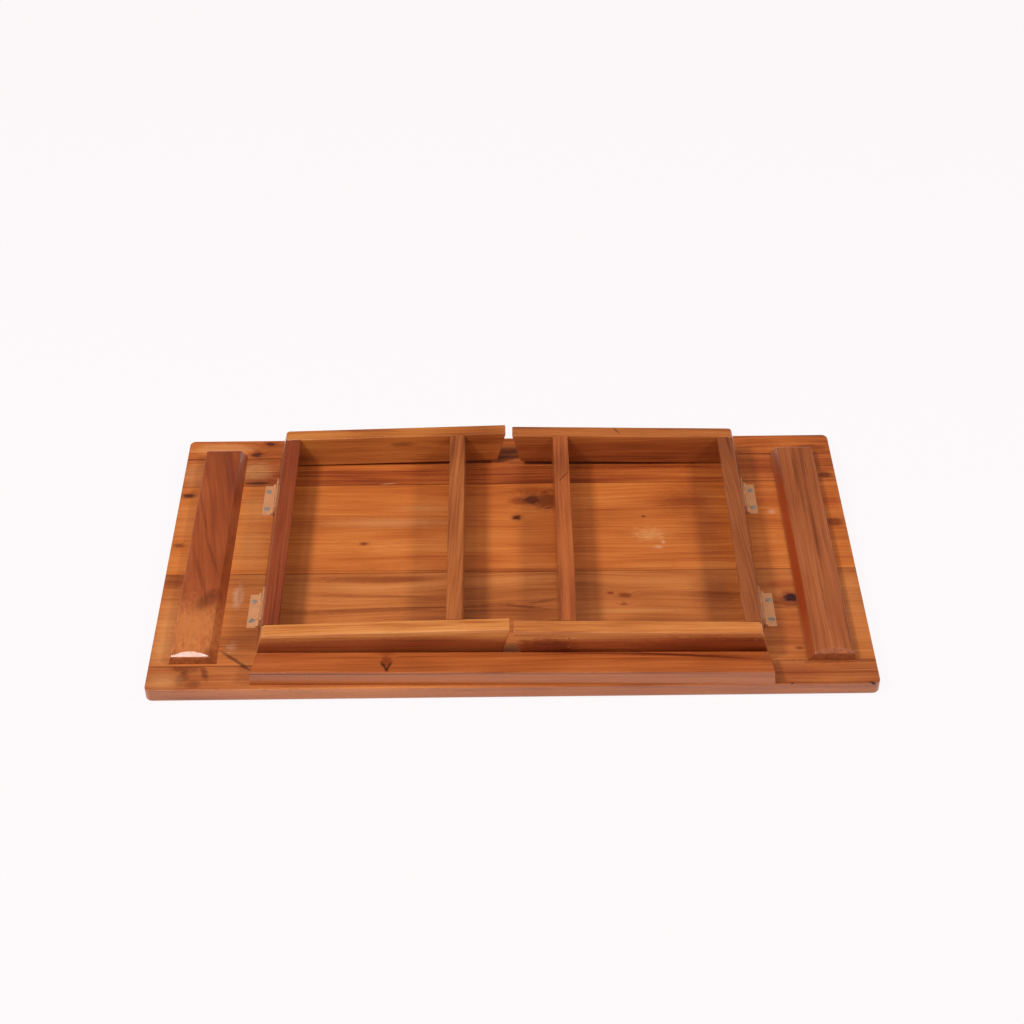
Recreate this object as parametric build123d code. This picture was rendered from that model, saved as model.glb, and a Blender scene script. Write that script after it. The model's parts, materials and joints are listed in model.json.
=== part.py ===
from build123d import *
import math
import os

# Folding lap desk, shown as it lies: working face down, leg frames folded.
# Frame: origin at the middle of the working face, X along the length,
# Y from front to back, Z up through the underside. Millimetres, degrees.

# Top board
board_length = 559.0
board_thickness = 12.7
front_edge_strip_width = 25.5
front_plank_width = 104.5
middle_plank_width = 112.0
rear_plank_width = 37.5
rear_edge_strip_width = 25.5
board_corner_radius = 5.0
working_edge_round = 3.2
back_edge_round = 0.8

# Cross battens
batten_length = 254.0
batten_width = 37.0
batten_crown_height = 10.0
batten_side_height = 8.0
batten_inner_slope = 5.2
batten_outer_slope = 2.2
batten_end_margin = 15.5
batten_end_height = 7.2
batten_end_slope = 4.2
batten_edge_round = 1.2
left_batten_shift = 2.5
right_batten_shift = -0.7

# Front rail
rail_batten_gap = 27.5
rail_width = 22.2
rail_height = 12.7
rail_end_splay = 2.8
rail_end_lean = 1.3
rail_skew = 0.69
rail_edge_round = 0.7
rail_leg_gap = 0.5

# Leg frames
frame_width = 253.0
leg_thickness = 12.7
leg_depth = 28.6
splay_angle = 16.0
rest_tilt = 1.35
bar_thickness = 12.7
stretcher_thickness = 12.7
stretcher_from_tip = 41.3
leg_corner_radius = 3.5
leg_tip_radius = 1.2
leg_edge_round = 0.9
front_leg_extra = 1.6
tip_gap = 5.0
stand_batten_gap = 0.7
frame_board_gap = 0.3
left_frame_shift = 1.9
right_frame_shift = -0.6

# Butt hinges
hinge_length = 38.1
hinge_spacing = 136.0
left_hinge_shift = 1.3
right_hinge_shift = -3.4
leaf_reach = 8.3
leaf_thickness = 1.0
barrel_radius = 1.4
barrel_gap = 0.2
knuckle_count = 5
knuckle_gap = 0.25
pin_radius = 0.75
pin_running_clearance = 0.05
pin_fixed_clearance = 0.02

# Slotted countersunk screws
screw_spacing = 22.0
screw_head_radius = 2.6
screw_shank_radius = 1.6
screw_length = 9.0
screw_slot_width = 0.8
screw_slot_depth = 0.5
screw_clearance = 0.03

# Square finishing brads
nail_width = 1.6
nail_length = 30.0
nail_upper_inset = 7.0
nail_pitch = 9.0
bar_nails = 1
stretcher_nails = 2

# How far a cutting solid runs past the piece that it cuts
cut_overrun = 5.0

# Worked out from the sizes above
board_depth = (front_edge_strip_width + front_plank_width + middle_plank_width
               + rear_plank_width + rear_edge_strip_width)
batten_inner_foot = board_length / 2 - batten_end_margin - batten_width
rail_length = 2 * (batten_inner_foot - rail_batten_gap)
axis_height = barrel_radius + barrel_gap
axis_z = board_thickness + axis_height
frame_low = frame_board_gap - axis_height
frame_high = frame_low + leg_depth
sides = {"left": -1, "right": 1}
frame_shift = {"left": left_frame_shift, "right": right_frame_shift}
hinge_shift = {"left": left_hinge_shift, "right": right_hinge_shift}
batten_shift = {"left": left_batten_shift, "right": right_batten_shift}


def outer_face(height):
    """Distance of the slanted outer face from the hinge pin, along the leg, at a height."""
    slope = math.radians(splay_angle)
    return (axis_height + height * math.sin(slope)) / math.cos(slope)


def standing_reach():
    """Distance from the hinge pin out to the far edge of the slanted face when it lies flat."""
    slope = math.radians(splay_angle)
    return (frame_high + axis_height * math.sin(slope)) / math.cos(slope)


# The standing frames just clear the battens, and the folded ones meet in the middle
batten_side = batten_inner_foot + batten_inner_slope * 2 * axis_height / batten_side_height
hinge_line = batten_side - stand_batten_gap - standing_reach()
tilt = math.radians(rest_tilt)
leg_length = ((hinge_line - tip_gap / 2 + frame_high * math.sin(tilt)) / math.cos(tilt)
              - outer_face(frame_high))
swing_angle = 90 + splay_angle - rest_tilt


def span_box(low, high):
    """Box between two corners."""
    size = [b - a for a, b in zip(low, high)]
    middle = [(a + b) / 2 for a, b in zip(low, high)]
    return Pos(*middle) * Box(*size)


def side_extrusion(points, y_low, y_high):
    """Solid with an outline in the X-Z plane, from one Y to another."""
    outline = make_face(Polyline(*[(x, z) for x, z in points], close=True))
    flat = Plane((0, y_high, 0), x_dir=(1, 0, 0), z_dir=(0, -1, 0)) * outline
    return extrude(flat, amount=y_high - y_low, dir=(0, -1, 0))


def on_side(shape, side):
    """A piece drawn for the left side, or its mirror image on the right."""
    return shape if sides[side] < 0 else mirror(shape, about=Plane.YZ)


# Fasteners
def screw_blank(clearance=0.0):
    """Countersunk screw body with its face at the origin, pointing down."""
    head = screw_head_radius + clearance
    shank = screw_shank_radius + clearance
    cone_height = screw_head_radius - screw_shank_radius
    profile = Polyline((0, 0), (head, 0), (shank, -cone_height),
                       (shank, -screw_length - clearance), (0, -screw_length - clearance), close=True)
    return revolve(Plane.XZ * make_face(profile), Axis.Z)


def screw():
    """Screw with its slot."""
    slot = Box(screw_slot_width, 2 * screw_head_radius + cut_overrun, 2 * screw_slot_depth)
    return screw_blank() - slot


def nail(clearance=0.0):
    """Headless square brad with its blunt face at the origin, pointing along +Y."""
    side = nail_width + 2 * clearance
    return Box(side, nail_length + clearance, side, align=(Align.CENTER, Align.MIN, Align.CENTER))


# Hinges: drawn with the pin on the Y axis and the plate below it, towards +X
screw_reach = (barrel_radius + leaf_reach) / 2
knuckle_length = (hinge_length - (knuckle_count - 1) * knuckle_gap) / knuckle_count


def knuckle_start(index):
    """Y of the near end of one knuckle."""
    return -hinge_length / 2 + index * (knuckle_length + knuckle_gap)


def screw_places():
    """Places of the two screws on a leaf, at the plate's outer face."""
    top = leaf_thickness - axis_height
    return [Pos(screw_reach, y, top) for y in (-screw_spacing / 2, screw_spacing / 2)]


def leaf(first_knuckle, bore_clearance):
    """Hinge leaf that holds every second knuckle from the first one named."""
    plate = span_box((0, -hinge_length / 2, -axis_height),
                     (leaf_reach, hinge_length / 2, leaf_thickness - axis_height))
    notch_reach = barrel_radius + barrel_gap
    for index in range(knuckle_count):
        start = knuckle_start(index)
        if index % 2 == first_knuckle:
            barrel = Pos(0, start + knuckle_length / 2, 0) * Rot(90, 0, 0) * Cylinder(
                barrel_radius, knuckle_length)
            plate += barrel
        else:
            plate -= span_box((-cut_overrun, start - knuckle_gap, -axis_height - cut_overrun),
                              (notch_reach, start + knuckle_length + knuckle_gap, axis_height))
    plate -= Rot(90, 0, 0) * Cylinder(pin_radius + bore_clearance, hinge_length + cut_overrun)
    for place in screw_places():
        plate -= place * screw_blank(screw_clearance)
    return plate


def hinge_pin():
    """Hinge pin, as long as the barrel."""
    return Rot(90, 0, 0) * Cylinder(pin_radius, hinge_length)


def hinge_middles(side):
    """Y of the two hinges of a side, front one first."""
    shift = hinge_shift[side]
    return {"front": shift - hinge_spacing / 2, "rear": shift + hinge_spacing / 2}


def board_leaf_place(y):
    """Place of a board leaf on the left side."""
    return Pos(-hinge_line, y, axis_z) * Rot(0, 0, 180)


def frame_leaf_place(y):
    """Place of a frame leaf on the slanted outer face, in the leg frame."""
    return Pos(0, y, 0) * Rot(0, splay_angle - 90, 0)


# Top board
def whole_board():
    """Board outline with rounded corners and edges."""
    outline = RectangleRounded(board_length, board_depth, board_corner_radius)
    board = extrude(outline, amount=board_thickness)
    board = fillet(board.faces().sort_by(Axis.Z)[0].edges(), working_edge_round)
    return fillet(board.faces().sort_by(Axis.Z)[-1].edges(), back_edge_round)


def planks():
    """The five boards that are glued edge to edge, front to back."""
    widths = {"front_edge_strip": front_edge_strip_width, "front_plank": front_plank_width,
              "middle_plank": middle_plank_width, "rear_plank": rear_plank_width,
              "rear_edge_strip": rear_edge_strip_width}
    board = whole_board()
    pieces = {}
    front = -board_depth / 2
    for name, width in widths.items():
        slab = span_box((-board_length / 2 - cut_overrun, front, -cut_overrun),
                        (board_length / 2 + cut_overrun, front + width, board_thickness + cut_overrun))
        pieces[name] = board & slab
        front += width
    return pieces


def batten(side):
    """Cross batten: crowned top, sloping sides, bevelled ends."""
    outer_foot = -batten_inner_foot - batten_width
    outer_top = outer_foot + batten_outer_slope
    inner_top = -batten_inner_foot - batten_inner_slope
    crown_middle = ((outer_top + inner_top) / 2, batten_crown_height)
    outline = (Polyline((inner_top, batten_side_height), (-batten_inner_foot, 0),
                        (outer_foot, 0), (outer_top, batten_side_height))
               + ThreePointArc((outer_top, batten_side_height), crown_middle,
                               (inner_top, batten_side_height)))
    middle = batten_shift[side]
    near = middle - batten_length / 2
    far = middle + batten_length / 2
    flat = Plane((0, far, board_thickness), x_dir=(1, 0, 0), z_dir=(0, -1, 0)) * make_face(outline)
    body = extrude(flat, amount=batten_length, dir=(0, -1, 0))
    low = board_thickness + batten_end_height
    top = low + cut_overrun
    crown_foot = board_thickness + (batten_end_height + batten_side_height) / 2 - batten_edge_round
    run = cut_overrun * batten_end_slope / (batten_crown_height - batten_end_height)
    for end, inward in ((near, 1), (far, -1)):
        wedge = make_face(Polyline((end, low), (end + inward * run, top), (end, top), close=True))
        body -= extrude(Plane.YZ * wedge, amount=board_length, both=True)
    crown_edges = body.edges().filter_by(lambda edge: edge.center().Z > crown_foot)
    return on_side(fillet(crown_edges, batten_edge_round), side)


def rail():
    """Front rail with slightly splayed, leaning ends, set a little askew."""
    body = Box(rail_length, rail_width, rail_height, align=(Align.CENTER, Align.CENTER, Align.MIN))
    across = Vector(-rail_end_splay, rail_width, 0)
    upward = Vector(-rail_end_lean, 0, rail_height)
    end_cut = Plane((rail_length / 2, -rail_width / 2, 0), x_dir=across, z_dir=across.cross(upward))
    for _ in sides:
        body = mirror(split(body, bisect_by=end_cut, keep=Keep.BOTTOM), about=Plane.YZ)
    long_edges = body.faces().sort_by(Axis.Z)[-1].edges().filter_by(Axis.X)
    body = fillet(long_edges, rail_edge_round)
    clear_of_left = left_frame_shift - frame_width / 2
    clear_of_right = right_frame_shift - frame_width / 2
    turn = math.radians(rail_skew)
    half_span = rail_length / 2
    back_line = min(clear_of_left - half_span * math.sin(turn), clear_of_right) - rail_leg_gap
    middle = back_line - rail_width / 2
    return Pos(0, middle, board_thickness) * Rot(0, 0, -rail_skew) * body


# Leg frame, drawn for the left side with the hinge pin on the Y axis and the legs along +X
def slanted_outline(start, length):
    """Corners of a piece with ends cut at the splay angle."""
    low = outer_face(frame_low) + start
    high = outer_face(frame_high) + start
    return [(low, frame_low), (low + length, frame_low), (high + length, frame_high), (high, frame_high)]


def leg(inner_side):
    """Leg plank on its inner side at Y zero, growing outwards; the front one is a little longer."""
    corners = slanted_outline(0, leg_length if inner_side > 0 else leg_length + front_leg_extra)
    low, high = (0, leg_thickness) if inner_side > 0 else (-leg_thickness, 0)
    body = side_extrusion(corners, low, high)

    def edge_at(corner):
        return body.edges().filter_by(Axis.Y).sort_by_distance((corner[0], (low + high) / 2, corner[1]))[0]
    outer_corner = edge_at(corners[3])
    body = fillet(outer_corner, leg_corner_radius)
    tips = [edge_at(corners[1]), edge_at(corners[2])]
    body = fillet(tips, leg_tip_radius)
    return fillet(body.faces().filter_by(Axis.Y).edges(), leg_edge_round)


bar_run = bar_thickness / math.cos(math.radians(splay_angle))
inner_half = frame_width / 2 - leg_thickness
stretcher_middle = outer_face(frame_high) + leg_length - stretcher_from_tip


def hinge_bar():
    """Slanted bar between the legs that carries the hinges."""
    body = side_extrusion(slanted_outline(0, bar_run), -inner_half, inner_half)
    return fillet(body.edges().filter_by(Axis.Y), leg_edge_round)


def stretcher():
    """Square bar between the legs near their tips."""
    half = stretcher_thickness / 2
    corners = [(stretcher_middle - half, frame_low), (stretcher_middle + half, frame_low),
               (stretcher_middle + half, frame_high), (stretcher_middle - half, frame_high)]
    body = side_extrusion(corners, -inner_half, inner_half)
    return fillet(body.edges().filter_by(Axis.Y), leg_edge_round)


def nail_places():
    """Places of a frame's nails, flush with the legs' outer faces."""
    heights = [frame_high - nail_upper_inset - row * nail_pitch for row in range(stretcher_nails)]
    spots = [(outer_face(height) + bar_run / 2, height) for height in heights[:bar_nails]]
    spots += [(stretcher_middle, height) for height in heights]
    places = []
    for reach, height in spots:
        places.append(Pos(reach, -frame_width / 2, height))
        places.append(Pos(reach, frame_width / 2, height) * Rot(0, 0, 180))
    return places


def drilled(shape, places, tool):
    """A piece with a hole at each place that reaches it."""
    for place in places:
        hole = place * tool
        if (shape & hole).volume > 0:
            shape -= hole
    return shape


def leg_frame(side):
    """The pieces of one leg frame in place on the board."""
    shift = frame_shift[side]
    middles = hinge_middles(side)
    leaf_places = {name: frame_leaf_place(y) for name, y in middles.items()}
    to_frame = Pos(0, shift, 0)
    leaf_screws = [place * spot for place in leaf_places.values() for spot in screw_places()]
    nails = [to_frame * place for place in nail_places()]
    nail_hole = nail(screw_clearance)
    front_leg = to_frame * Pos(0, -inner_half, 0) * leg(-1)
    rear_leg = to_frame * Pos(0, inner_half, 0) * leg(1)
    pieces = {
        f"{side}_front_leg": drilled(front_leg, nails, nail_hole),
        f"{side}_rear_leg": drilled(rear_leg, nails, nail_hole),
        f"{side}_stretcher": drilled(to_frame * stretcher(), nails, nail_hole),
        f"{side}_leg_nails": Compound(children=[place * nail() for place in nails]),
        f"{side}_frame_screws": Compound(children=[place * screw() for place in leaf_screws]),
    }
    bar = drilled(to_frame * hinge_bar(), nails, nail_hole)
    pieces[f"{side}_hinge_bar"] = drilled(bar, leaf_screws, screw_blank(screw_clearance))
    for name, place in leaf_places.items():
        pieces[f"{side}_{name}_frame_leaf"] = place * leaf(1, pin_running_clearance)
    stand = Pos(-hinge_line, 0, axis_z) * Rot(0, -rest_tilt, 0)
    return {name: on_side(stand * piece, side) for name, piece in pieces.items()}


def board_hardware(side):
    """Board leaves, pins and screws of one side."""
    pieces = {}
    screws = []
    for name, y in hinge_middles(side).items():
        place = board_leaf_place(y)
        pieces[f"{side}_{name}_board_leaf"] = place * leaf(0, pin_fixed_clearance)
        pieces[f"{side}_{name}_hinge_pin"] = place * hinge_pin()
        screws += [place * spot for spot in screw_places()]
    pieces[f"{side}_board_screws"] = Compound(children=[place * screw() for place in screws])
    holes = [on_side(place * screw_blank(screw_clearance), side) for place in screws]
    return {name: on_side(piece, side) for name, piece in pieces.items()}, holes


def lap_desk():
    """Every node of the desk by name."""
    nodes = planks()
    for side in sides:
        hardware, holes = board_hardware(side)
        for name in ("front_plank", "middle_plank"):
            for hole in holes:
                if (nodes[name] & hole).volume > 0:
                    nodes[name] -= hole
        nodes.update(hardware)
        nodes[f"{side}_batten"] = batten(side)
        nodes.update(leg_frame(side))
    nodes["front_rail"] = rail()
    return nodes


os.makedirs("parts", exist_ok=True)
desk = lap_desk()
for node, shape in desk.items():
    export_step(shape, f"parts/{node}.step")
print(len(desk), "nodes; hinge line", round(hinge_line, 3), "axis height", round(axis_z, 3),
      "swing", round(swing_angle, 2), "degrees; legs", round(leg_length, 2))
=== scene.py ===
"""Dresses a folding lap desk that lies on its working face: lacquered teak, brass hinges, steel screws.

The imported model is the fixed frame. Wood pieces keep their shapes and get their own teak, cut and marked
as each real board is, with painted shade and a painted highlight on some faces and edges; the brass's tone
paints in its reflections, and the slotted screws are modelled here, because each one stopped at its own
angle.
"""

from __future__ import annotations

import json
import logging
import math
from dataclasses import dataclass, field
from enum import Enum
from typing import Any, Iterable, Mapping

import bpy
from mathutils import Euler, Matrix, Vector

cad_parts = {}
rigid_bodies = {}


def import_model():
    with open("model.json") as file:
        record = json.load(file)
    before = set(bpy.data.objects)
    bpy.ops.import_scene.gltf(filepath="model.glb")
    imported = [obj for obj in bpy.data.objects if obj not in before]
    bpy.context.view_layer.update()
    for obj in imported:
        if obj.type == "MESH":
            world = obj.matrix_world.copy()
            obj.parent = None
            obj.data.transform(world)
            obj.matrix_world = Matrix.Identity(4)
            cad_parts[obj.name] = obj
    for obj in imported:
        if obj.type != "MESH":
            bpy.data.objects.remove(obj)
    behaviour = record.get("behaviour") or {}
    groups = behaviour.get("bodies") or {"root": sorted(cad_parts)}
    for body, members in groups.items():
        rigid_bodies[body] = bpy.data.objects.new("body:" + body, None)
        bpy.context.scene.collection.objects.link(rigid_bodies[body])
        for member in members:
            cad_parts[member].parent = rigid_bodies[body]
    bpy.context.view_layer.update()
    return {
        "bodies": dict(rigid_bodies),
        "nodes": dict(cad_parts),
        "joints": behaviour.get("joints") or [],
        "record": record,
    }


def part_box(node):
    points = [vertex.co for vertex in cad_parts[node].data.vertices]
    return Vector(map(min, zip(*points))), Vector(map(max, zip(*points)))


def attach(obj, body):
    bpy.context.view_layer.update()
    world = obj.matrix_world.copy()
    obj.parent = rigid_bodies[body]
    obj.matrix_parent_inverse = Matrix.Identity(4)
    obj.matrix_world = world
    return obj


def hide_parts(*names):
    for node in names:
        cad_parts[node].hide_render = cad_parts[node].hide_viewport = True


MM = 0.001
log = logging.getLogger("lap_desk")


def to_linear(code: str) -> tuple[float, float, float, float]:
    """Turns an sRGB colour such as "#c87a3c" into the linear colour that a socket takes.

    Args:
        code: Hash sign and six hex digits.

    Returns:
        Red, green, blue and alpha, linear.
    """
    channels = [int(code[start : start + 2], 16) / 255 for start in (1, 3, 5)]
    linear = [c / 12.92 if c <= 0.04045 else ((c + 0.055) / 1.055) ** 2.4 for c in channels]
    return (*linear, 1.0)


class Nodes:
    """A node tree and the one function that adds to it."""

    def __init__(self, tree: bpy.types.NodeTree) -> None:
        """Empties the tree.

        Args:
            tree: A material's or the world's.
        """
        self.tree = tree
        self.tree.nodes.clear()

    def add(self, kind: str, inputs: Mapping[Any, Any] | None = None, **settings: Any) -> bpy.types.Node:
        """Adds one node with its settings, values and links.

        Args:
            kind: Node type without its "ShaderNode" prefix.
            inputs: Socket name or index to a value, a socket or a node, whose first output is meant.
            settings: Properties of the node itself.

        Returns:
            The new node.
        """
        made = self.tree.nodes.new("ShaderNode" + kind)
        for name, value in settings.items():
            setattr(made, name, value)
        for key, value in (inputs or {}).items():
            source = value.outputs[0] if isinstance(value, bpy.types.Node) else value
            if isinstance(source, bpy.types.NodeSocket):
                self.tree.links.new(source, made.inputs[key])
            else:
                made.inputs[key].default_value = source
        return made


class Recipe(Nodes):
    """A material and its node tree."""

    def __init__(self, name: str) -> None:
        """Starts an empty material.

        Args:
            name: What the finish is, in a maker's words.
        """
        self.material = bpy.data.materials.new(name)
        self.material.use_nodes = True
        super().__init__(self.material.node_tree)

    def surface(self, shader: bpy.types.Node) -> bpy.types.Material:
        """Ends the tree.

        Args:
            shader: What shows.

        Returns:
            The material.
        """
        self.add("OutputMaterial", {"Surface": shader})
        return self.material


class GrainAxis(Enum):
    """Which way a piece's grain runs on the desk."""

    LENGTH = 0
    DEPTH = 1


class Mark(Enum):
    """How a mark lies on the wood under it."""

    # Multiplied marks darken the wood: real stains, and also painted shade on some legs' faces.
    STAIN = "MULTIPLY"
    TINT = "MIX"


@dataclass(frozen=True)
class Patch:
    """A soft-edged stretch of another tone, placed on the desk in millimetres.

    Along runs with the grain, across runs over it, and length and width are full sizes. A mark that is so
    tall about its depth stays on one face, and one with no height goes through the wood.
    """

    along: float
    across: float
    length: float
    width: float
    tone: str
    strength: float = 0.6
    kind: Mark = Mark.STAIN
    soft: float = 0.6
    ragged: float = 0.8
    turn: float = 0.0
    depth: float = 0.0
    tall: float = 0.0


@dataclass(frozen=True)
class Knot:
    """A knot: a dark heart, a halo, and grain that flows round both."""

    along: float
    across: float
    length: float
    width: float
    heart: str = "#5a2416"
    halo: str = "#9a4a24"
    strength: float = 0.85
    swirl: float = 6.0
    reach: float = 3.0


@dataclass(frozen=True)
class Teak:
    """Lacquered teak, sanded and brushed with clear varnish: warm tone, fine straight lines, a satin shine.

    Tones run from latewood to earlywood. Sizes are in millimetres. Lines, bands and cloud are how much each
    sways the tone, drift is how far the grain wanders, and slant how many degrees it leans from the edges.
    """

    name: str
    late: str
    mid: str
    early: str
    axis: GrainAxis = GrainAxis.LENGTH
    lines: float = 0.85
    line_width: float = 1.5
    bands: float = 0.75
    band_width: float = 6.0
    cloud: float = 0.6
    drift: float = 7.0
    slant: float = 0.0
    seed: float = 0.0
    roughness: float = 0.38
    gloss: float = 0.45
    knots: tuple[Knot, ...] = ()
    patches: tuple[Patch, ...] = ()

    def material(self) -> bpy.types.Material:
        """Builds the finish.

        Returns:
            The material.
        """
        return TeakRecipe(self).finished()


class Layer(Enum):
    """A noise layer's shift, which keeps it apart from the others, and its octaves of finer noise."""

    DRIFT = (3.0, 1.0)
    FIBRES = (7.0, 3.0)
    BANDS = (13.0, 3.0)
    CLOUDS = (21.0, 1.0)
    PORES = (31.0, 1.0)
    MARK_EDGES = (43.0, 2.0)
    WAVES = (57.0, 1.0)


@dataclass(frozen=True)
class Ring:
    """One tone of a knot: where it starts and is full, in outlines, and its share of the knot's strength."""

    outer: float
    inner: float
    share: float


class TeakRecipe(Recipe):
    """Node tree of one piece's teak, in millimetres on the piece's Object coordinates."""

    line_length = 95.0
    band_length = 240.0
    cloud_size = (80.0, 34.0, 34.0)
    drift_size = (170.0, 60.0, 60.0)
    pore_size = (11.0, 0.8, 0.8)
    edge_size = (5.0, 2.4, 2.4)
    wave_size = (11.0, 11.0, 11.0)
    wave_height = 0.35
    groove_height = 0.035
    groove_strength = 0.4
    through = 1.0e5
    noise_middle = 0.5
    noise_roughness = 0.6
    late_stop, mid_stop, early_stop = 0.2, 0.5, 0.8
    pore_limits = (0.6, 0.72)
    pore_shade = 0.3
    swirl_core = 0.3
    swirl_edge = 0.5
    ring_edge = 1.3
    halo = Ring(2.0, 0.7, 0.6)
    heart = Ring(1.15, 0.5, 1.0)
    sheen_sway = 0.12
    varnish_index = 1.5
    varnish_roughness = 0.1

    def __init__(self, wood: Teak) -> None:
        """Starts the tree with the point on the piece, and the same point as the grain flows.

        Args:
            wood: The teak to make.
        """
        super().__init__(wood.name)
        self.wood = wood
        place = self.add("TexCoord").outputs["Object"]
        scaled = self.add("VectorMath", {0: place, "Scale": 1 / MM}, operation="SCALE")
        x, y, z = self.add("SeparateXYZ", {0: scaled}).outputs
        along, across = (x, y) if wood.axis is GrainAxis.LENGTH else (y, x)
        self.point = self.add("CombineXYZ", {0: along, 1: across, 2: z})
        self.edge_noise = self.grained(self.point, self.edge_size, Layer.MARK_EDGES)
        wander = self.grained(self.point, self.drift_size, Layer.DRIFT)
        flow = self.weighed(wander, 2 * wood.drift, across)
        lean = math.tan(math.radians(wood.slant))
        flow = self.add("Math", {0: along, 1: lean, 2: flow}, operation="MULTIPLY_ADD")
        for knot in wood.knots:
            bent = self.add(
                "MapRange",
                {
                    "Value": self.distance(knot, self.swirl_edge),
                    "From Min": knot.reach,
                    "From Max": self.swirl_core,
                    "To Max": knot.swirl,
                },
                interpolation_type="SMOOTHERSTEP",
            )
            flow = self.add("Math", {0: flow, 1: bent}, operation="ADD")
        self.flow = self.add("CombineXYZ", {0: along, 1: flow, 2: z})

    def grained(self, point: Any, sizes: tuple[float, ...], layer: Layer) -> bpy.types.Node:
        """Adds noise whose blobs measure as given along, across and through the wood.

        Args:
            point: Where the noise is read.
            sizes: Blob size along, across and in depth.
            layer: What the noise is for.

        Returns:
            The noise node.
        """
        shift, octaves = layer.value
        seed = self.wood.seed
        stretch = tuple(1 / size for size in sizes)
        offset = (seed + shift, 3 * seed - shift, seed)
        moved = self.add("VectorMath", {0: point, 1: stretch, 2: offset}, operation="MULTIPLY_ADD")
        return self.add(
            "TexNoise", {"Vector": moved, "Scale": 1.0, "Detail": octaves, "Roughness": self.noise_roughness}
        )

    def weighed(self, value: Any, weight: float, total: Any) -> bpy.types.Node:
        """Adds a noise's swing about its middle to a running total.

        Args:
            value: The noise.
            weight: What its swing is multiplied by.
            total: What it is added to.

        Returns:
            The node that holds the new total.
        """
        centred = self.add("Math", {0: value, 1: self.noise_middle}, operation="SUBTRACT")
        return self.add("Math", {0: centred, 1: weight, 2: total}, operation="MULTIPLY_ADD")

    def distance(
        self, spot: Patch | Knot, ragged: float, turn: float = 0.0, depth: float = 0.0, tall: float = 0.0
    ) -> bpy.types.Node:
        """Adds the distance from a mark's middle, 1 at its outline.

        Args:
            spot: The mark.
            ragged: How far the outline wavers, as a share of the mark's size.
            turn: How far the mark is turned from the grain, in degrees.
            depth: Height of its middle.
            tall: Its full height, or zero for one that goes through the wood.

        Returns:
            The node that holds the distance.
        """
        local = self.add(
            "Mapping",
            {
                "Vector": self.point,
                "Location": (spot.along, spot.across, depth),
                "Rotation": (0.0, 0.0, math.radians(turn)),
                "Scale": (spot.length / 2, spot.width / 2, tall / 2 or self.through),
            },
            vector_type="TEXTURE",
        )
        plain = self.add("VectorMath", {0: local}, operation="LENGTH")
        return self.weighed(self.edge_noise, ragged, plain.outputs["Value"])

    def grain(self) -> bpy.types.NodeSocket:
        """Adds the grain's tone.

        Returns:
            Its colour.
        """
        wood = self.wood
        line_size = (self.line_length, wood.line_width, wood.line_width)
        band_size = (self.band_length, wood.band_width, wood.band_width)
        self.fibres = self.grained(self.flow, line_size, Layer.FIBRES)
        tone = self.weighed(self.fibres, wood.lines, self.mid_stop)
        tone = self.weighed(self.grained(self.flow, band_size, Layer.BANDS), wood.bands, tone)
        tone = self.weighed(self.grained(self.flow, self.cloud_size, Layer.CLOUDS), wood.cloud, tone)
        ramp = self.add("ValToRGB", {"Fac": tone})
        stops = ramp.color_ramp.elements
        stops[0].position, stops[0].color = self.late_stop, to_linear(wood.late)
        stops[1].position, stops[1].color = self.early_stop, to_linear(wood.early)
        stops.new(self.mid_stop).color = to_linear(wood.mid)
        start, full = self.pore_limits
        pore_noise = self.grained(self.flow, self.pore_size, Layer.PORES)
        self.pores = self.add(
            "MapRange",
            {"Value": pore_noise, "From Min": start, "From Max": full},
            interpolation_type="SMOOTHSTEP",
        )
        shade = self.add("Math", {0: self.pores, 1: self.pore_shade}, operation="MULTIPLY")
        return self.blended(ramp.outputs["Color"], shade, wood.late, Mark.TINT)

    def blended(self, colour: Any, share: Any, tone: str, kind: Mark) -> bpy.types.NodeSocket:
        """Adds a tone over a colour.

        Args:
            colour: The colour below.
            share: How much of the tone shows.
            tone: The tone.
            kind: How it lies on the colour.

        Returns:
            The colour socket of the result.
        """
        made = self.add(
            "Mix", {0: share, 6: colour, 7: to_linear(tone)}, data_type="RGBA", blend_type=kind.value
        )
        return made.outputs[2]

    def marked(self, colour: Any) -> Any:
        """Adds the patches, then the knots.

        Args:
            colour: The grain's colour.

        Returns:
            The marked colour.
        """
        for patch in self.wood.patches:
            inside = self.add(
                "MapRange",
                {
                    "Value": self.distance(patch, patch.ragged, patch.turn, patch.depth, patch.tall),
                    "From Min": 1.0 + patch.soft / 2,
                    "From Max": 1.0 - patch.soft,
                    "To Max": patch.strength,
                },
                interpolation_type="SMOOTHSTEP",
            )
            colour = self.blended(colour, inside, patch.tone, patch.kind)
        for knot in self.wood.knots:
            away = self.distance(knot, self.ring_edge)
            for tone, ring in ((knot.halo, self.halo), (knot.heart, self.heart)):
                inside = self.add(
                    "MapRange",
                    {
                        "Value": away,
                        "From Min": ring.outer,
                        "From Max": ring.inner,
                        "To Max": knot.strength * ring.share,
                    },
                    interpolation_type="SMOOTHSTEP",
                )
                colour = self.blended(colour, inside, tone, Mark.TINT)
        return colour

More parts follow.
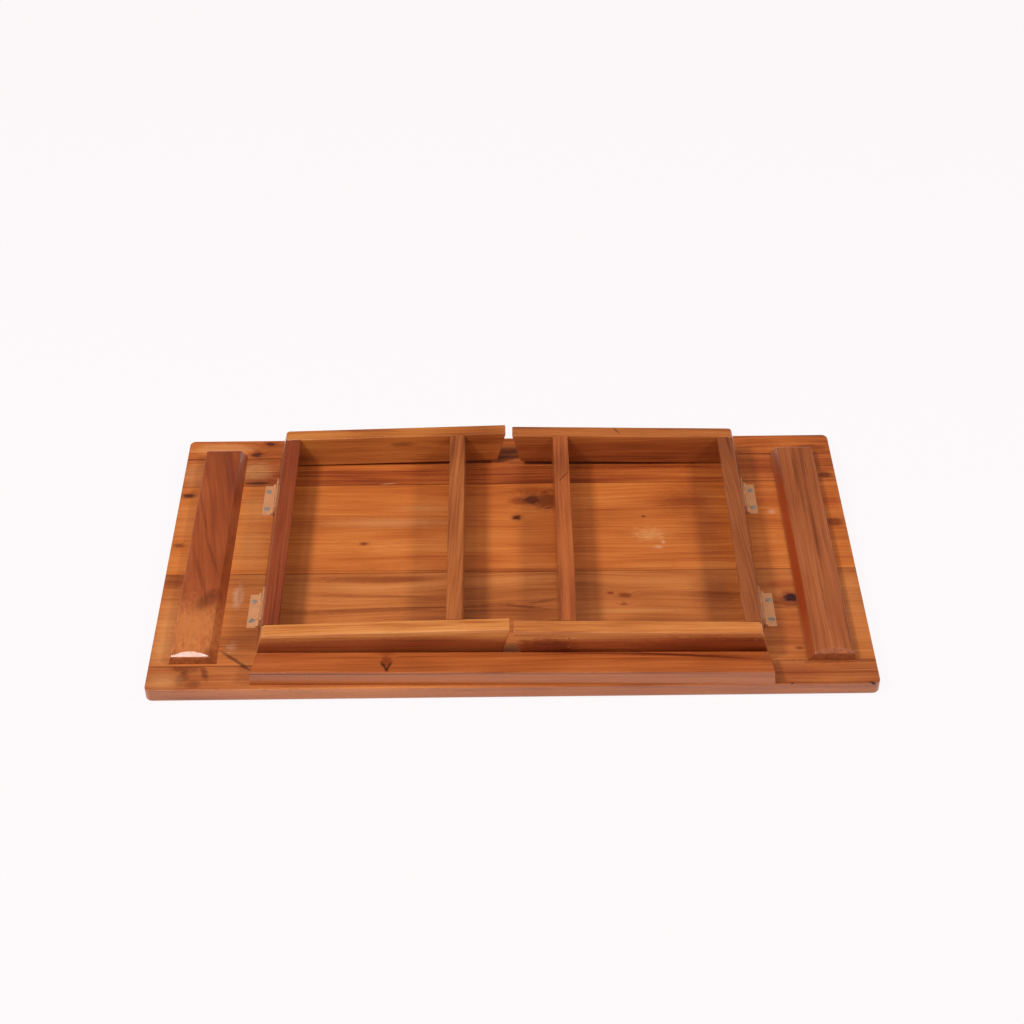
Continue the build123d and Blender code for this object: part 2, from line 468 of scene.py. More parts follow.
    def finished(self) -> bpy.types.Material:
        """Adds the marks and the varnish.

        Returns:
            The material.
        """
        colour = self.marked(self.grain())
        relief = self.weighed(self.fibres, 1.0, self.pores)
        grooved = self.add(
            "Bump",
            {"Height": relief, "Strength": self.groove_strength, "Distance": self.groove_height * MM},
        )
        waves = self.grained(self.point, self.wave_size, Layer.WAVES)
        varnish = self.add(
            "Bump", {"Height": waves, "Strength": 1.0, "Distance": self.wave_height * MM, "Normal": grooved}
        )
        shader = self.add(
            "BsdfPrincipled",
            {
                "Base Color": colour,
                "Roughness": self.weighed(self.fibres, self.sheen_sway, self.wood.roughness),
                "IOR": self.varnish_index,
                "Coat Weight": self.wood.gloss,
                "Coat Roughness": self.varnish_roughness,
                "Coat IOR": self.varnish_index,
                "Normal": grooved,
                "Coat Normal": varnish,
            },
        )
        return self.surface(shader)


@dataclass(frozen=True)
class Metal:
    """A bare metal fitting, dulled by handling: a tone, fine scratches and darker spots. For the brass, the
    tone also paints in the lamp light that the leaves reflect.

    Blotch and scratch sizes are in millimetres.
    """

    name: str
    bright: str
    dull: str
    roughness: float
    blotch: float = 7.0
    scratch: tuple[float, float, float] = (0.5, 9.0, 0.5)
    metallic: float = 1.0
    blotch_octaves: float = 3.0
    blotch_roughness: float = 0.6
    scratch_octaves: float = 2.0
    scratch_sheen: float = 0.3
    scratch_strength: float = 0.3
    scratch_depth: float = 0.02

    def material(self) -> bpy.types.Material:
        """Builds the finish.

        Returns:
            The material.
        """
        recipe = Recipe(self.name)
        place = recipe.add("TexCoord").outputs["Object"]
        blotch = recipe.add(
            "TexNoise",
            {
                "Vector": place,
                "Scale": 1 / (self.blotch * MM),
                "Detail": self.blotch_octaves,
                "Roughness": self.blotch_roughness,
            },
        )
        stretch = tuple(1 / (size * MM) for size in self.scratch)
        brushed = recipe.add("VectorMath", {0: place, 1: stretch}, operation="MULTIPLY")
        scratches = recipe.add(
            "TexNoise", {"Vector": brushed, "Scale": 1.0, "Detail": self.scratch_octaves}
        )
        tone = recipe.add(
            "Mix", {0: blotch, 6: to_linear(self.dull), 7: to_linear(self.bright)}, data_type="RGBA"
        )
        smoothest = self.roughness - self.scratch_sheen / 2
        sheen = recipe.add(
            "Math", {0: scratches, 1: self.scratch_sheen, 2: smoothest}, operation="MULTIPLY_ADD"
        )
        bump = recipe.add(
            "Bump",
            {"Height": scratches, "Strength": self.scratch_strength, "Distance": self.scratch_depth * MM},
        )
        shader = recipe.add(
            "BsdfPrincipled",
            {
                "Base Color": tone.outputs[2],
                "Metallic": self.metallic,
                "Roughness": sheen,
                "Normal": bump,
            },
        )
        return recipe.surface(shader)


def wear(node: str, material: bpy.types.Material) -> None:
    """Gives a CAD node its finish.

    Args:
        node: The node's name.
        material: Its finish.
    """
    mesh = bpy.data.objects[node].data
    mesh.materials.clear()
    mesh.materials.append(material)


NAIL_HEAD = Metal("filled_nail_head", "#a8623a", "#8c4a28", 0.6, blotch=1.5, metallic=0.0)


def seam(across: float) -> Patch:
    """Describes the glue line between two planks, right along the board.

    Args:
        across: Where it is, in millimetres from the board's middle.

    Returns:
        The line as a mark.
    """
    return Patch(
        along=0, across=across, length=4000, width=1.3, tone="#6a3418", strength=0.55, soft=0.5, ragged=0.7
    )


@dataclass
class TableTop:
    """The board of five planks, the two cross battens and the front rail."""

    rear_strip: Teak = Teak(
        "rear_strip_teak", "#863a15", "#bd6026", "#d47a34", seed=1.3,
        knots=(
            Knot(-208.4, 147.5, 12, 5.5, "#4a1a12", "#8a3c1c"),
            Knot(-219.7, 132.7, 11, 7, "#54200f", "#8e4520"),
        ),
        patches=(
            seam(127),
            Patch(-250, 141, 60, 16, "#f0a868", 0.35, Mark.TINT),
            Patch(262, 134.5, 36, 9, "#7a3826", 0.55),
            Patch(216, 140, 50, 14, "#b06a48", 0.35),
            Patch(0, 134, 120, 10, "#a05a30", 0.3),
        ),
    )
    rear_plank: Teak = Teak(
        "rear_plank_teak", "#7e3414", "#ae5522", "#c66d2f", seed=2.1, lines=1.4, drift=4,
        patches=(
            seam(127),
            seam(89.5),
            Patch(-215, 93.5, 26, 4.5, "#3a1612", 0.8, Mark.TINT),
            Patch(-218, 110, 30, 26, "#f2b06c", 0.35, Mark.TINT),
            Patch(-272, 105, 24, 40, "#e8a060", 0.3, Mark.TINT),
            Patch(-222, 119.5, 60, 0.9, "#6a2c14", 0.6),
            Patch(-222, 108, 60, 0.9, "#6a2c14", 0.5),
            Patch(222, 108, 44, 34, "#b06850", 0.3),
            Patch(271, 96.8, 14, 9, "#6a2c20", 0.7),
            Patch(110, 112, 140, 12, "#a86840", 0.35),
            Patch(-103, 91, 15, 1.1, "#f6d0ae", 0.32, Mark.TINT, turn=6),
        ),
    )
    middle_plank: Teak = Teak(
        "middle_plank_teak", "#9c4818", "#c66a2a", "#da843e", seed=3.7, drift=6, bands=0.5, lines=0.75,
        knots=(
            Knot(19.2, 68.0, 15, 13, "#54200f", "#8a4420", 0.8, 12, 3.4),
            Knot(5.9, 44.6, 8, 6.5, "#4e1c10", "#8c4620", 0.9, 5, 2.6),
            Knot(-272.8, 77.9, 12, 6, "#4e1c10", "#8c4620", 0.85, 4),
            Knot(-120.6, 13.9, 7, 4, "#7c3216", "#a05428", 0.8, 3),
            Knot(-273.4, 14.0, 9, 5, "#6a2c14", "#8c4620", 0.6, 3),
            Knot(111.8, 44.7, 2.6, 2.4, "#4a2018", "#8c4a28", 0.9, 1.5),
        ),
        patches=(
            seam(89.5),
            seam(-22.5),
            Patch(33, 66, 28, 26, "#7c3e26", 0.7, ragged=1.6),
            Patch(8, 66, 20, 10, "#8a4426", 0.5, ragged=1.2),
            Patch(20, 80, 60, 9, "#a86a40", 0.4),
            Patch(-100, 40, 120, 14, "#f0b070", 0.25, Mark.TINT, soft=1.0),
            Patch(-70, 58, 60, 10, "#f0b070", 0.2, Mark.TINT, soft=1.0),
            Patch(115, 21.5, 28, 15, "#f3b272", 0.36, Mark.TINT, soft=1.0, ragged=2.2),
            Patch(121, 5.9, 9, 4, "#f0c8a0", 0.3, Mark.TINT, soft=1.0, ragged=2.2),
            Patch(126, 12, 3, 5, "#f6d2b0", 0.3, Mark.TINT, soft=1.0, ragged=2.2),
            Patch(147, 66, 46, 34, "#a86838", 0.5, soft=1.0, ragged=1.2),
            Patch(160, 25, 40, 50, "#b47844", 0.35, soft=1.0),
            Patch(270, 34.7, 16, 12, "#74342a", 0.65),
            Patch(270, 60, 22, 22, "#c8683a", 0.35),
            Patch(222, 62, 34, 30, "#c06a3c", 0.3),
            Patch(220, 49, 8, 6, "#e8c0a4", 0.28, Mark.TINT, soft=1.0, ragged=2.0),
            Patch(-214, 60, 34, 40, "#eda35a", 0.35, Mark.TINT, soft=1.0),
            Patch(-214, 12, 34, 50, "#f0a45a", 0.3, Mark.TINT, soft=1.0),
            Patch(-270, 45, 20, 50, "#e09050", 0.3, Mark.TINT, soft=1.0),
            Patch(0, -20, 300, 3, "#8a5a30", 0.4),
        ),
    )
    front_plank: Teak = Teak(
        "front_plank_teak", "#8c461c", "#ba672e", "#ce7c3e", seed=4.2, drift=9, bands=0.6, lines=0.75,
        knots=(
            Knot(222.8, -56.5, 13, 11, "#2e1418", "#7c3420", 0.92, 8, 3.0),
            Knot(79.7, -49.0, 6, 3.5, "#7a2c12", "#a85624", 0.75, 3),
            Knot(91, -52.0, 12, 6, "#7e3012", "#a85624", 0.75, 4),
            Knot(89.9, -62.2, 7, 3, "#84380f", "#a85624", 0.6, 3),
        ),
        patches=(
            seam(-22.5),
            seam(-127),
            Patch(-110, -30, 110, 9, "#9a5c30", 0.5),
            Patch(-110, -66, 130, 5, "#84491f", 0.45, turn=2),
            Patch(-110, -50, 120, 4, "#8a5024", 0.4, turn=-2),
            Patch(-118, -40, 110, 9, "#d69a54", 0.18, Mark.TINT, soft=1.0),
            Patch(9, -63.8, 34, 3.4, "#7a2c12", 0.5, turn=-8, ragged=1.6),
            Patch(25, -58.0, 26, 4, "#8a3c18", 0.35, turn=14, ragged=1.6),
            Patch(-14, -61, 40, 3, "#8a4420", 0.35, turn=3, ragged=1.6),
            Patch(10, -34, 70, 18, "#d8924e", 0.18, Mark.TINT, soft=1.0, turn=8),
            Patch(105, -36, 80, 12, "#d8924e", 0.12, Mark.TINT, soft=1.0),
            Patch(95, -70, 90, 6, "#dd9a54", 0.35, Mark.TINT, soft=1.0),
            Patch(165, -50, 40, 50, "#a0643a", 0.5, soft=1.0),
            Patch(222, -62, 38, 14, "#7c3420", 0.45, ragged=1.2),
            Patch(222, -40, 40, 10, "#c4602c", 0.4),
            Patch(226, -95, 50, 50, "#c0623a", 0.35, soft=1.0),
            Patch(271, -60, 18, 60, "#d98d4c", 0.25, Mark.TINT, soft=1.0),
            Patch(222.5, -114, 8, 4, "#7c2c18", 0.6),
            Patch(-218, -48.6, 8, 28, "#e9c3a6", 0.4, Mark.TINT, soft=0.8, ragged=1.6),
            Patch(-217, -47, 4.5, 19, "#b56a38", 0.7, Mark.TINT, soft=0.8, ragged=1.2),
            Patch(-217.7, -107, 8, 13, "#dba282", 0.3, Mark.TINT, soft=1.0, ragged=2.0),
            Patch(-214, -120, 32, 3.5, "#4a1e14", 0.6, turn=-40),
            Patch(-271, -108, 20, 34, "#e29a58", 0.5, Mark.TINT, soft=1.0),
            Patch(-271, -30, 18, 18, "#a0562c", 0.45),
            Patch(-271, -80, 18, 60, "#e8a060", 0.3, Mark.TINT, soft=1.0),
        ),
    )
    front_strip: Teak = Teak(
        "front_strip_teak", "#803c14", "#ab5b2b", "#c07038", seed=5.9, drift=4,
        patches=(
            seam(-127),
            Patch(-250, -128, 24, 12, "#6e3620", 0.6, ragged=1.6),
            Patch(-236, -133, 6, 20, "#6e3620", 0.55, ragged=1.6, turn=20),
            Patch(-252, -140, 10, 18, "#7c4426", 0.5, ragged=1.6, turn=-25),
            Patch(-243, -146, 14, 10, "#7c4426", 0.4, ragged=1.6),
            Patch(-205, -128.5, 20, 3, "#4a1e14", 0.6, turn=-35),
            Patch(-266, -143, 30, 18, "#e8a464", 0.35, Mark.TINT, soft=1.0),
            Patch(215, -140, 50, 20, "#b8623c", 0.45, soft=1.0),
            Patch(240, -128, 44, 6, "#7c4430", 0.4, ragged=1.4),
            # Painted shade: the two near-black marks below stand for the shade inside a split at the board's
            # right front corner and inside a small chip on its front edge.
            Patch(
                273.6, -152.2, 7, 1.4, "#140a08", 0.95, Mark.TINT,
                soft=0.4, turn=-18, ragged=1.0, depth=12.7, tall=4,
            ),
            Patch(212.2, -151.7, 2.4, 1.4, "#2a1210", 0.8, Mark.TINT, depth=12.7, tall=3),
            # Painted highlight: a light line along the left half of the board's front top edge.
            Patch(-120, -151.5, 200, 3.5, "#f09a56", 0.45, Mark.TINT, soft=1.0),
            # Painted lighting: the board's front face gets its own orange tone, set to how that face looks
            # under the lamps.
            Patch(0, -155, 900, 8, "#b25e1e", 0.5, Mark.TINT, soft=0.4, ragged=0.2, depth=5.0, tall=14),
        ),
    )
    left_batten: Teak = Teak(
        "left_batten_teak", "#7a3620", "#9a471f", "#b05a2e", GrainAxis.DEPTH, 0.7,
        seed=6.4, slant=9, bands=0.45, line_width=2.0, band_width=9,
        patches=(
            Patch(-92, -247, 64, 60, "#e08a48", 0.55, Mark.TINT, soft=0.9, ragged=1.6),
            Patch(-118, -247, 26, 50, "#d8813f", 0.4, Mark.TINT, soft=0.9, ragged=1.6),
            Patch(-62, -240, 30, 14, "#6a3020", 0.5, ragged=1.8, turn=30),
            Patch(-30, -250, 70, 4, "#5e2818", 0.3, turn=-16),
            Patch(-10, -242, 60, 3, "#5e2818", 0.28, turn=-18),
            Patch(40, -254, 60, 3, "#5e2818", 0.25, turn=-12),
            Patch(-120, -232, 12, 8, "#74341c", 0.4, ragged=1.8),
        ),
    )
    right_batten: Teak = Teak(
        "right_batten_teak", "#7a3a1c", "#a1552b", "#b46638", GrainAxis.DEPTH, 1.0,
        seed=7.7, drift=3, line_width=1.1, band_width=3,
        patches=(
            # Painted shade: the batten's inner side face gets a deep red tone, set to how that face looks
            # under the lamps.
            Patch(-10, 230.3, 270, 7, "#a0380e", 0.8, Mark.TINT, soft=0.4, ragged=0.3, depth=16, tall=12),
            Patch(90, 243, 60, 2.2, "#56301c", 0.4),
            Patch(20, 250, 110, 2.0, "#56301c", 0.4),
            Patch(-60, 246, 90, 1.8, "#56301c", 0.4),
            Patch(-95, 252, 50, 7, "#a04e2a", 0.4, Mark.TINT),
            Patch(-20, 258, 160, 5, "#a85a34", 0.35, Mark.TINT, soft=1.0),
        ),
    )
    rail: Teak = Teak(
        "rail_teak", "#80380f", "#a85322", "#bd672e", seed=8.3, drift=3, band_width=4,
        knots=(Knot(-96, -127.5, 13, 7, "#8a3c14", "#a04c20", 0.6, 4, 2.2),),
        patches=(
            Patch(-95.6, -136, 9, 15, "#8a3a16", 0.55, ragged=1.2),
            Patch(-97.5, -140.5, 10, 2.6, "#4e2214", 0.75, turn=-62, ragged=1.0),
            Patch(-93, -140.5, 10, 2.4, "#4e2214", 0.7, turn=66, ragged=1.0),
            Patch(-95, -145.5, 3.5, 5, "#4a1e12", 0.7),
            Patch(-60, -149.1, 400, 5.0, "#3e1a0e", 0.85, ragged=0.4, turn=-0.69, depth=23.9, tall=1.5),
            Patch(110, -151.1, 300, 5.0, "#5a2a16", 0.65, ragged=0.5, turn=-0.69, depth=20.4, tall=1.5),
            Patch(90, -131, 200, 3.0, "#84320c", 0.6, turn=-2.5),
            Patch(140, -134, 110, 2.4, "#7c2c0a", 0.6, turn=-5),
            Patch(120, -127, 120, 3.0, "#e08a44", 0.35, Mark.TINT, turn=-3),
            # Painted lighting: the rail's front face gets its own orange tone, set to how that face looks
            # under the lamps.
            Patch(0, -150, 560, 12, "#c06a28", 0.6, Mark.TINT, soft=0.4, ragged=0.2, depth=18, tall=14),
        ),
    )

    def dress(self) -> None:
        """Gives each board its own teak."""
        boards = {
            "rear_edge_strip": self.rear_strip,
            "rear_plank": self.rear_plank,
            "middle_plank": self.middle_plank,
            "front_plank": self.front_plank,
            "front_edge_strip": self.front_strip,
            "left_batten": self.left_batten,
            "right_batten": self.right_batten,
            "front_rail": self.rail,
        }
        for node, wood in boards.items():
            wear(node, wood.material())
            log.info("%s wears %s", node, wood.name)


@dataclass
class LegFrame:
    """One folded leg frame: two legs, the slanted hinge bar, the stretcher and their nails."""

    side: str
    front_leg: Teak
    rear_leg: Teak
    bar: Teak
    stretcher: Teak

    def dress(self, nail: bpy.types.Material) -> None:
        """Gives each stick its teak and the nails their steel.

        Args:
            nail: The nails' finish.
        """
        sticks = {
            "front_leg": self.front_leg,
            "rear_leg": self.rear_leg,
            "hinge_bar": self.bar,
            "stretcher": self.stretcher,
        }
        for name, wood in sticks.items():
            wear(f"{self.side}_{name}", wood.material())
            log.info("%s_%s wears %s", self.side, name, wood.name)
        wear(f"{self.side}_leg_nails", nail)


def leg_frames() -> tuple[LegFrame, LegFrame]:
    """Describes the wood of both leg frames.

    Returns:
        The left one and the right one.
    """
    depth = GrainAxis.DEPTH
    left = LegFrame(
        "left",
        Teak(
            "left_front_leg_teak", "#a6541e", "#d0803e", "#e49a54", seed=11.2, drift=2,
            patches=(
                Patch(-187, -124.6, 13, 6, "#4e1e10", 0.75, ragged=2.0, depth=20, tall=9),
                # Painted shade: the leg's front face, below its top, is darkened along the whole leg.
                Patch(-100, -125, 400, 10, "#a4532c", 0.8, soft=0.3, ragged=0.15, depth=24, tall=30),
                # Painted shade: a near-black line for the shade inside a slit in the leg's front face.
                Patch(
                    -23, -124.6, 19, 3.0, "#0c0604", 0.95, Mark.TINT,
                    soft=0.4, ragged=0.6, depth=22, tall=1.2,
                ),
                Patch(-70, -124.6, 62, 3.0, "#5a2414", 0.5, ragged=1.0, depth=19, tall=2.0),
            ),
        ),
        Teak(
            "left_rear_leg_teak", "#90481c", "#be6b2d", "#d0823c", seed=12.8, drift=4,
            patches=(
                Patch(-90, 115, 26, 6, "#7c4420", 0.5, ragged=1.4, depth=36, tall=6),
                Patch(-20, 115, 40, 30, "#b07040", 0.3),
            ),
        ),
        Teak("left_bar_teak", "#5e2412", "#87391a", "#9a4a24", depth, 0.8, seed=13.1, drift=3),
        Teak(
            "left_stretcher_teak", "#7c3c1a", "#a85a29", "#bc6f36", depth, 0.9, seed=14.6, drift=4, slant=-3
        ),
    )
    right = LegFrame(
        "right",
        Teak(
            "right_front_leg_teak", "#a0521e", "#ca7839", "#de904c", seed=15.4, drift=2,
            patches=(
                # Painted shade: the leg's front face, below its top, is darkened along the whole leg.
                Patch(100, -127.5, 400, 10, "#b8683c", 0.7, soft=0.3, ragged=0.15, depth=24, tall=30),
                Patch(26, -127.5, 52, 10, "#9a5636", 0.65, soft=0.4, ragged=0.8, depth=24, tall=32),
                Patch(152, -127.5, 130, 10, "#c88458", 0.5, soft=0.4, ragged=0.8, depth=24, tall=32),
            ),
        ),
        Teak(
            "right_rear_leg_teak", "#824018", "#b4622c", "#c8783a", seed=16.9, drift=4,
            patches=(
                Patch(92, 121, 12, 1.0, "#2a120a", 0.85, Mark.TINT, soft=0.4, turn=-58),
                # Painted shade: the leg's inner face, below its top, is darkened along the whole leg.
                Patch(100, 113, 400, 8, "#b06a3c", 0.5, soft=0.3, ragged=0.15, depth=24, tall=30),
            ),
        ),
        Teak("right_bar_teak", "#642e18", "#924c26", "#a65e30", depth, 0.9, seed=17.3, drift=4, slant=5),
        Teak(
            "right_stretcher_teak", "#7e3a1a", "#ac5828", "#be6a34", depth, 0.8, seed=18.5, drift=4,
            patches=(Patch(59, 45, 16, 1.0, "#3a1a10", 0.7, Mark.TINT, soft=0.4, turn=32),),
        ),
    )
    return left, right


@dataclass(frozen=True)
class Screw:
    """A slotted countersunk screw with a slightly domed head. Sizes are in millimetres."""

    head_radius: float = 2.55
    shank_radius: float = 1.5
    cone_height: float = 1.0
    length: float = 8.5
    dome_height: float = 0.35
    slot_width: float = 0.75
    slot_depth: float = 0.7
    cutter_length: float = 7.65
    segments: int = 32
    dome_steps: tuple[float, ...] = (0.35, 0.7, 0.92)

    def model(self, name: str) -> bpy.types.Object:
        """Models one screw with its head's rim at the origin, pointing down, slot along Y.

        Args:
            name: What the object is called.

        Returns:
            The finished screw.
        """
        bpy.ops.object.select_all(action="DESELECT")
        bpy.ops.mesh.primitive_cylinder_add(
            vertices=self.segments, radius=self.head_radius * MM, depth=self.length * MM
        )
        screw = bpy.context.active_object
        screw.name = name
        self.shape_head(screw)
        cutter = self.slot_cutter()
        bpy.context.view_layer.objects.active = screw
        slot = screw.modifiers.new("slot", "BOOLEAN")
        slot.object = cutter
        slot.solver = "EXACT"
        bpy.ops.object.modifier_apply(modifier=slot.name)
        bpy.data.objects.remove(cutter)
        return screw

    def shape_head(self, screw: bpy.types.Object) -> None:
        """Domes the top face and draws the lower part in to a shank.

        Args:
            screw: The plain cylinder.
        """
        bpy.ops.object.mode_set(mode="EDIT")
        bpy.ops.mesh.select_mode(type="FACE")
        self.pick_cap(screw, top=True)
        inset = reached = 0.0
        for share in self.dome_steps:
            rise = self.dome_height * math.sqrt(1 - (1 - share) ** 2) - reached
            bpy.ops.mesh.inset(thickness=(share - inset) * self.head_radius * MM, depth=0.0)
            bpy.ops.transform.translate(value=(0.0, 0.0, rise * MM))
            inset, reached = share, reached + rise
        self.pick_cap(screw, top=False)
        rest = self.length - self.cone_height
        bpy.ops.transform.translate(value=(0.0, 0.0, rest * MM))
        bpy.ops.transform.resize(value=(self.shank_radius / self.head_radius,) * 2 + (1.0,))
        bpy.ops.mesh.extrude_region_move(TRANSFORM_OT_translate={"value": (0.0, 0.0, -rest * MM)})
        bpy.ops.mesh.select_all(action="SELECT")
        bpy.ops.transform.translate(value=(0.0, 0.0, -self.length / 2 * MM))
        bpy.ops.object.mode_set(mode="OBJECT")

    def pick_cap(self, screw: bpy.types.Object, top: bool) -> None:
        """Selects the flat face at one end, in Edit Mode.

        Args:
            screw: The screw.
            top: Whether it is the head's face.
        """
        bpy.ops.mesh.select_all(action="DESELECT")
        bpy.ops.object.mode_set(mode="OBJECT")
        faces = screw.data.polygons
        cap = (max if top else min)(faces, key=lambda face: face.center.z)
        cap.select = True
        bpy.ops.object.mode_set(mode="EDIT")

    def slot_cutter(self) -> bpy.types.Object:
        """Makes the block that cuts the slot, long enough to run past the head.

        Returns:
            The block.
        """
        middle = (self.dome_height - self.slot_depth / 2) * MM
        bpy.ops.mesh.primitive_cube_add(size=1.0, location=(0.0, 0.0, middle))
        cutter = bpy.context.active_object
        cutter.scale = (self.slot_width * MM, self.cutter_length * MM, self.slot_depth * MM)
        bpy.ops.object.transform_apply(location=True, rotation=True, scale=True)
        return cutter


@dataclass
class Hinges:
    """The four butt hinges with their leaves, pins and screws.

    A slot's angle is how far the screw stopped from the hinge's own line, front hinge first.
    """

    # Painted reflection: the leaves' bright, nearly non-metallic tone stands in for the lamp light that
    # brass reflects.
    brass: Metal = Metal("satin_brass_painted_reflection", "#e9a674", "#cc8c5e", 0.4, metallic=0.08)
    steel: Metal = Metal("zinc_plated_steel", "#d2c2b2", "#94826f", 0.3, blotch=2.0, metallic=0.3)
    screw: Screw = Screw()
    leaf_reach: float = 8.3
    barrel_radius: float = 1.4
    leaf_thickness: float = 1.0
    axis_height: float = 1.6
    screw_spacing: float = 22.0
    smooth_angle: float = 35.0
    board_slots: Mapping[str, tuple[float, ...]] = field(
        default_factory=lambda: {"left": (62.0, -38.0, 55.0, 80.0), "right": (40.0, -70.0, 66.0, 50.0)}
    )
    frame_slots: tuple[float, ...] = (12.0, 75.0, -30.0, 48.0)

    def dress(self, frame: Mapping[str, Any]) -> None:
        """Gives leaves and pins their brass, and puts modelled screws in place of the plain ones.

        Args:
            frame: The loaded frame.
        """
        brass, steel = self.brass.material(), self.steel.material()
        pattern = self.screw.model("screw_pattern")
        swing = math.radians(frame["record"]["behaviour"]["joints"][0]["range_deg"][1])
        on_board = Matrix.Rotation(math.pi, 4, "Z")
        on_bar = Matrix.Rotation(swing - math.pi, 4, "Y")
        for side in ("left", "right"):
            for end in ("front", "rear"):
                for part in ("board_leaf", "frame_leaf", "hinge_pin"):
                    wear(f"{side}_{end}_{part}", brass)
            board = self.screws_of(side, pattern, on_board, self.board_slots[side])
            self.join(f"{side}_board_screws", board, "tabletop", steel)
            on_frame = self.screws_of(side, pattern, on_bar, self.frame_slots)
            self.join(f"{side}_frame_screws", on_frame, f"{side}_leg_frame", steel)
        bpy.data.objects.remove(pattern)
        log.info("hinges wear %s and %s", self.brass.name, self.steel.name)

    def screws_of(
        self, side: str, pattern: bpy.types.Object, turn: Matrix, slots: tuple[float, ...]
    ) -> list[bpy.types.Object]:
        """Copies the screw to the holes of a side's two leaves.

        Args:
            side: Left or right.
            pattern: The screw at the origin.
            turn: How the left leaf is turned round its pin from one that points to the right.
            slots: Slot angles in degrees, front hinge first.

        Returns:
            Four screws with their places in their meshes.
        """
        mirror = Matrix.Scale(-1 if side == "right" else 1, 4, (1, 0, 0))
        reach = (self.leaf_reach + self.barrel_radius) / 2
        drop = self.leaf_thickness - self.axis_height
        copies = []
        for index, slot in enumerate(slots):
            low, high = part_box(f"{side}_{('front', 'rear')[index // 2]}_hinge_pin")
            pin = (Vector(low) + Vector(high)) / 2
            along = (-0.5, 0.5)[index % 2] * self.screw_spacing
            spot = Matrix.Translation(Vector((reach, along, drop)) * MM)
            slotted = Matrix.Rotation(math.radians(slot), 4, "Z")
            place = Matrix.Translation(pin) @ mirror @ turn @ spot @ slotted
            copy = pattern.copy()
            copy.data = pattern.data.copy()
            copy.data.transform(place)
            if place.is_negative:
                copy.data.flip_normals()
            bpy.context.scene.collection.objects.link(copy)
            copies.append(copy)
        return copies

    def join(self, node: str, screws: list[bpy.types.Object], body: str, steel: bpy.types.Material) -> None:
        """Joins a node's screws into one piece that stands for it.

        Args:
            node: The plain screws' node.
            screws: The modelled ones.
            body: What they move with.
            steel: Their finish.
        """
        bpy.ops.object.select_all(action="DESELECT")
        for screw in screws:
            screw.select_set(True)
        bpy.context.view_layer.objects.active = screws[0]
        bpy.ops.object.join()
        bpy.ops.object.shade_smooth_by_angle(angle=math.radians(self.smooth_angle))
        joined = bpy.context.active_object
        joined.name = f"slotted_{node}"
        joined.data.materials.clear()
        joined.data.materials.append(steel)
        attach(joined, body)
        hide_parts(node)
        log.info("%s rides %s", joined.name, body)


@dataclass(frozen=True)
class SoftBox:
    """A square studio lamp, aimed at the desk."""

    name: str
    place: tuple[float, float, float]
    size: float
    power: float

    def build(self) -> None:
        """Adds the lamp. Its place is in metres from the desk."""
        lamp = bpy.data.lights.new(self.name, "AREA")
        lamp.shape = "SQUARE"
        lamp.size = self.size
        lamp.energy = self.power
        holder = bpy.data.objects.new(self.name, lamp)
        holder.location = self.place
        holder.rotation_euler = Vector(self.place).to_track_quat("Z", "Y").to_euler()
        bpy.context.scene.collection.objects.link(holder)


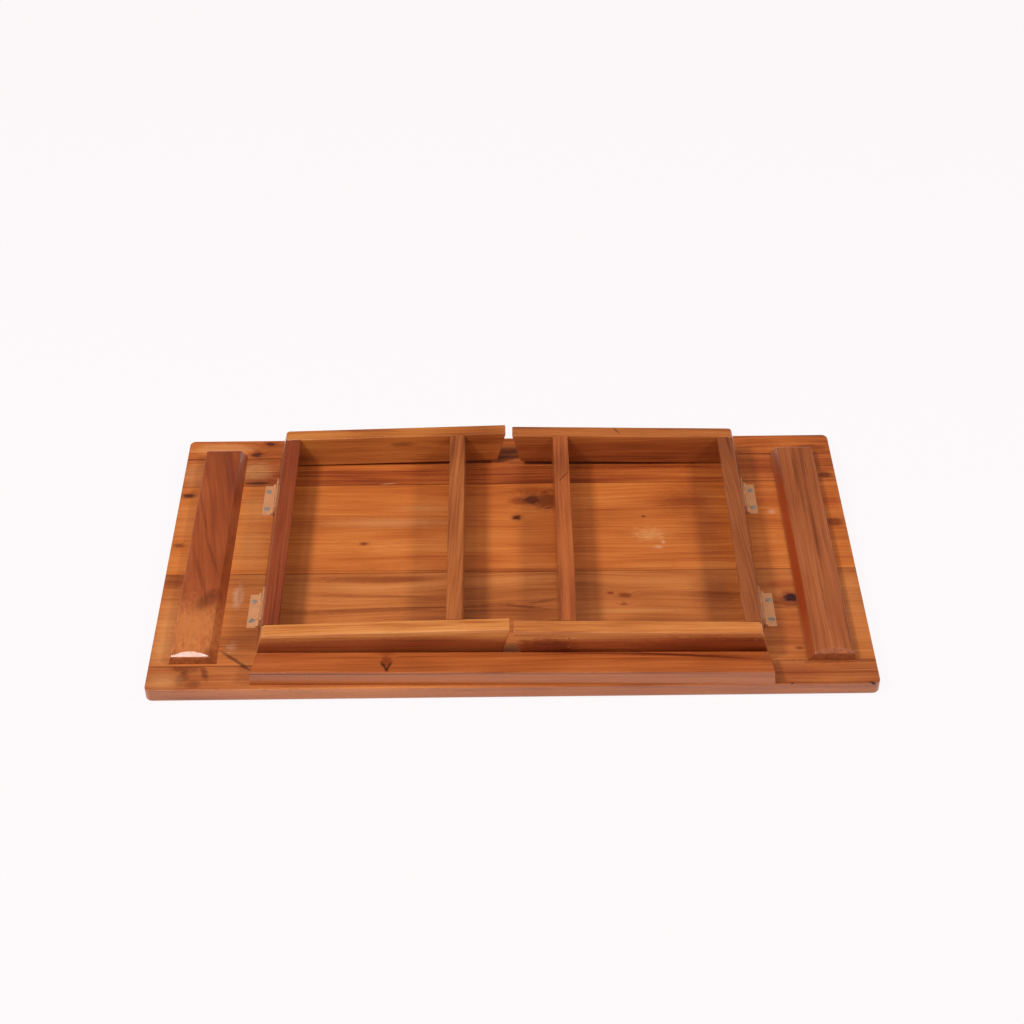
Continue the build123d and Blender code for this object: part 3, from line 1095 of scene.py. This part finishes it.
@dataclass
class Studio:
    """White sweep, soft lamps and the camera that took the picture.

    The camera's place is in millimetres and its angles in degrees. Horizon and ceiling are how bright the
    room is in reflections, low down and overhead, and their heights are those of a unit direction.
    """

    image_size: int = 1024
    sensor: float = 36.0
    focal_pixels: float = 1925.2
    centre_pixels: tuple[float, float] = (502.5, 491.5)
    camera_place: tuple[float, float, float] = (-4.5, -1178.7, 1059.5)
    tilt_down: float = 39.77
    roll: float = -0.673
    heading: float = 0.065
    floor_size: float = 8.0
    paper: str = "#fdf9fa"
    floor_glow: float = 0.96
    ambient: float = 0.32
    horizon: float = 0.12
    ceiling: float = 0.05
    horizon_top: float = 0.05
    ceiling_foot: float = 0.45
    lamps: tuple[SoftBox, ...] = (
        SoftBox("left_softbox", (-0.95, -0.45, 1.5), 0.3, 18.4),
        SoftBox("right_softbox", (1.25, -0.35, 1.35), 0.3, 12.4),
        SoftBox("front_softbox", (-0.54, -0.80, 1.70), 0.2, 3.4),
    )

    def build_camera(self) -> None:
        """Adds the camera at the picture's place, with its off-centre view."""
        data = bpy.data.cameras.new("camera")
        data.sensor_width = self.sensor
        data.lens = self.sensor * self.focal_pixels / self.image_size
        data.shift_x = (self.image_size / 2 - self.centre_pixels[0]) / self.image_size
        data.shift_y = (self.centre_pixels[1] - self.image_size / 2) / self.image_size
        camera = bpy.data.objects.new("camera", data)
        turn = Euler((math.radians(90 - self.tilt_down), 0.0, math.radians(self.heading))).to_matrix()
        turn @= Matrix.Rotation(math.radians(self.roll), 3, "Z")
        camera.matrix_world = Matrix.Translation(Vector(self.camera_place) * MM) @ turn.to_4x4()
        bpy.context.scene.collection.objects.link(camera)
        bpy.context.scene.camera = camera

    def paper_floor(self) -> bpy.types.Material:
        """Makes the matt paper floor, white to the camera and plain to the light.

        Returns:
            The material.
        """
        recipe = Recipe("matt_paper")
        tone = to_linear(self.paper)
        glow = recipe.add("Emission", {"Color": tone, "Strength": 1.0})
        plain = recipe.add("BsdfDiffuse", {"Color": tone})
        paths = recipe.add("LightPath")
        seen = paths.outputs["Is Camera Ray"]
        for path in ("Is Glossy Ray", "Is Transmission Ray"):
            seen = recipe.add("Math", {0: seen, 1: paths.outputs[path]}, operation="MAXIMUM")
        share = recipe.add("Math", {0: seen, 1: self.floor_glow}, operation="MULTIPLY")
        return recipe.surface(recipe.add("MixShader", {0: share, 1: plain, 2: glow}))

    def build_floor(self) -> None:
        """Adds the floor under the desk."""
        bpy.ops.mesh.primitive_plane_add(size=self.floor_size, location=(0.0, 0.0, 0.0))
        floor = bpy.context.active_object
        floor.name = "paper_floor"
        floor.data.materials.append(self.paper_floor())

    def build_world(self) -> None:
        """Fills the room with plain light: white to the camera, dim in the varnish's reflections."""
        world = bpy.data.worlds.new("studio")
        world.use_nodes = True
        bpy.context.scene.world = world
        room = Nodes(world.node_tree)
        paths = room.add("LightPath")
        seen = room.add(
            "Math",
            {0: paths.outputs["Is Camera Ray"], 1: paths.outputs["Is Transmission Ray"]},
            operation="MAXIMUM",
        )
        height = room.add("SeparateXYZ", {0: room.add("TexCoord").outputs["Generated"]}).outputs["Z"]
        mirrored = room.add(
            "MapRange",
            {
                "Value": height,
                "From Min": self.horizon_top,
                "From Max": self.ceiling_foot,
                "To Min": self.horizon,
                "To Max": self.ceiling,
            },
        )
        glossy = room.add(
            "MapRange",
            {"Value": paths.outputs["Is Glossy Ray"], "To Min": self.ambient, "To Max": mirrored},
        )
        strength = room.add("MapRange", {"Value": seen, "To Min": glossy, "To Max": 1.0})
        background = room.add("Background", {"Color": to_linear(self.paper), "Strength": strength})
        room.add("OutputWorld", {"Surface": background})

    def build(self) -> None:
        """Builds the whole studio."""
        bpy.context.scene.view_settings.view_transform = "Standard"
        self.build_camera()
        self.build_floor()
        self.build_world()
        for lamp in self.lamps:
            lamp.build()
        log.info("studio has %d lamps", len(self.lamps))


def main() -> None:
    """Loads the frame, dresses the desk piece by piece and sets up the studio."""
    logging.basicConfig(level=logging.INFO, format="%(name)s: %(message)s")
    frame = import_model()
    bpy.ops.object.select_all(action="DESELECT")
    TableTop().dress()
    nail = NAIL_HEAD.material()
    for leg_frame in leg_frames():
        leg_frame.dress(nail)
    Hinges().dress(frame)
    Studio().build()


if __name__ == "__main__":
    main()
